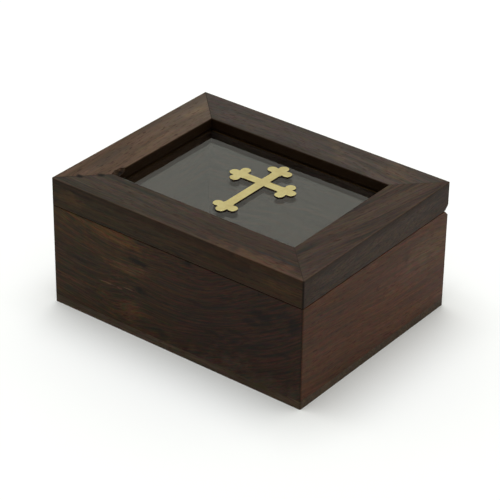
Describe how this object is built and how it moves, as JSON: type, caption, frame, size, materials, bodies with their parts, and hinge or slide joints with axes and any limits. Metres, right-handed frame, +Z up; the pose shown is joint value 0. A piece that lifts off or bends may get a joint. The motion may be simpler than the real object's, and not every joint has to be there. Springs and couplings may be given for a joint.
{
  "type": "rosary box",
  "caption": "Small hinged keepsake box of dark mitred wood with a framed glass lid that carries a thin brass budded cross.",
  "frame": {"origin": "middle of the box's underside", "axes": "+X to the right seen from the front, +Y from the front to the hinges at the back, +Z up"},
  "size_m": [0.14, 0.109, 0.0645],
  "materials": {
    "rosewood": "satin wax",
    "clear_glass": "gloss",
    "satin_brass": "satin",
    "hinge_brass": "satin"
  },
  "bodies": {
    "box": {"box_front_wall": "rosewood", "box_back_wall": "rosewood", "box_left_wall": "rosewood", "box_right_wall": "rosewood", "bottom_board": "rosewood", "left_hinge_box_leaf": "hinge_brass", "right_hinge_box_leaf": "hinge_brass", "left_hinge_pin": "hinge_brass", "right_hinge_pin": "hinge_brass", "box_leaf_screws": "hinge_brass"},
    "lid": {"lid_front_rail": "rosewood", "lid_back_rail": "rosewood", "lid_left_rail": "rosewood", "lid_right_rail": "rosewood", "glass_pane": "clear_glass", "brass_cross": "satin_brass", "left_hinge_lid_leaf": "hinge_brass", "right_hinge_lid_leaf": "hinge_brass", "lid_leaf_screws": "hinge_brass"}
  },
  "joints": [
    {"name": "lid_hinge", "type": "hinge", "parent": "box", "child": "lid", "pos_m": [0, 0.0523, 0.0506], "axis": [-1, 0, 0], "range_deg": [0, 105]}
  ]
}
